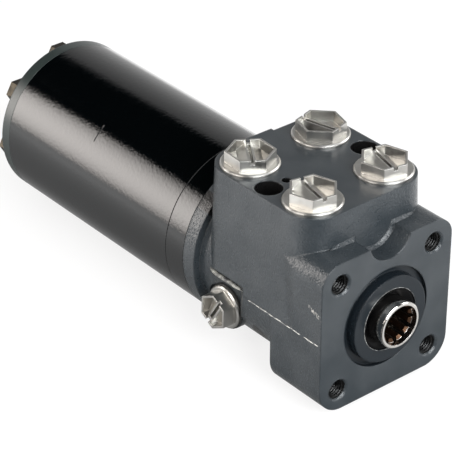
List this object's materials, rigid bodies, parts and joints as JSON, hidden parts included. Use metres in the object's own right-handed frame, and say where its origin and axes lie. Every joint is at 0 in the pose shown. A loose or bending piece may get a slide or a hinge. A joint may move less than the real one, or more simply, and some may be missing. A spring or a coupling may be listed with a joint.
{
  "type": "orbital steering unit",
  "caption": "Hand-operated orbital steering unit with a splined shaft end, plugged top ports and a long round gear set behind a cast housing.",
  "frame": {"origin": "centre of the column face on the shaft axis", "axes": "+Y along the shaft axis towards the end cover, +Z towards the ports, +X to the right looking along +Y"},
  "size_m": [0.0876, 0.2716, 0.1086],
  "materials": {
    "cast_housing": "dark blue-grey paint over a cast surface",
    "black_paint": "gloss black",
    "screw_zinc": "dark yellow zinc",
    "black_rubber": "matt",
    "seal_plastic": "filled sealing plastic",
    "plug_grey": "silver-grey satin",
    "ground_steel": "ground",
    "spring_steel": "hardened",
    "valve_steel": "turned"
  },
  "bodies": {
    "housing": {"housing": "cast_housing", "distributor_plate": "black_paint", "gear_rim_front": "black_paint", "gear_rim_rear": "black_paint", "end_cover": "black_paint", "cover_screws": "screw_zinc", "cover_screw_washers": "screw_zinc", "housing_oring": "black_rubber", "distributor_oring": "black_rubber", "rim_joint_oring": "black_rubber", "cover_oring": "black_rubber", "dust_seal": "black_rubber", "shaft_seal_rubber": "black_rubber", "shaft_seal_ring": "seal_plastic", "port_plug_seals": "black_rubber", "side_port_seal": "black_rubber", "port_plug_front_left": "plug_grey", "port_plug_front_right": "plug_grey", "port_plug_rear_left": "plug_grey", "port_plug_rear_right": "plug_grey", "side_port_plug": "plug_grey", "bearing_race_front": "ground_steel", "check_valve_bush": "valve_steel", "shock_valve_screws": "valve_steel", "shock_valve_springs": "spring_steel"},
    "sleeve": {"sleeve": "ground_steel", "cross_pin": "ground_steel", "neutral_springs": "spring_steel", "spring_ring": "ground_steel", "bearing_race_rear": "ground_steel"},
    "spool": {"spool": "ground_steel"},
    "bearing_cage": {"bearing_cage": "ground_steel", "bearing_needles": "ground_steel"},
    "spacer": {"shaft_spacer": "ground_steel"},
    "gear_wheel": {"gear_wheel": "ground_steel"},
    "cardan": {"cardan_shaft": "ground_steel"},
    "check_ball": {"check_valve_ball": "ground_steel"},
    "shock_ball_left": {"shock_valve_ball_left": "ground_steel"},
    "shock_ball_right": {"shock_valve_ball_right": "ground_steel"}
  },
  "joints": [
    {"name": "sleeve_turn", "type": "hinge", "parent": "housing", "child": "sleeve", "pos_m": [0, 0.05, 0], "axis": [0, 1, 0], "continuous": true},
    {"name": "spool_turn", "type": "hinge", "parent": "sleeve", "child": "spool", "pos_m": [0, 0.05, 0], "axis": [0, 1, 0], "range_deg": [-8, 8], "stiffness_Nm_per_rad": 8, "deforming": ["neutral_springs"]},
    {"name": "bearing_roll", "type": "hinge", "parent": "housing", "child": "bearing_cage", "pos_m": [0, 0.01325, 0], "axis": [0, 1, 0], "continuous": true},
    {"name": "wheel_orbit", "type": "hinge", "parent": "housing", "child": "spacer", "pos_m": [0, 0.24, 0], "axis": [0, 1, 0], "continuous": true},
    {"name": "wheel_spin", "type": "hinge", "parent": "spacer", "child": "gear_wheel", "pos_m": [0, 0.18, -0.0036], "axis": [0, 1, 0], "continuous": true},
    {"name": "cardan_spin", "type": "hinge", "parent": "spacer", "child": "cardan", "pos_m": [0, 0.074, 0], "axis": [0, 0.9997, -0.0227], "continuous": true},
    {"name": "check_ball_lift", "type": "slide", "parent": "housing", "child": "check_ball", "axis": [0, 0, 1], "range_m": [0, 0.0034]},
    {"name": "shock_ball_left_lift", "type": "slide", "parent": "housing", "child": "shock_ball_left", "axis": [0, 0, 1], "range_m": [0, 0.0015], "stiffness_N_per_m": 2000, "springref_m": -0.002, "deforming": ["shock_valve_springs"]},
    {"name": "shock_ball_right_lift", "type": "slide", "parent": "housing", "child": "shock_ball_right", "axis": [0, 0, 1], "range_m": [0, 0.0015], "stiffness_N_per_m": 2000, "springref_m": -0.002, "deforming": ["shock_valve_springs"]}
  ],
  "couplings": [
    {"joint": "wheel_orbit", "follows": "sleeve_turn", "ratio": -6},
    {"joint": "wheel_spin", "follows": "sleeve_turn", "ratio": 7},
    {"joint": "cardan_spin", "follows": "sleeve_turn", "ratio": 7},
    {"joint": "bearing_roll", "follows": "sleeve_turn", "ratio": 0.5}
  ]
}
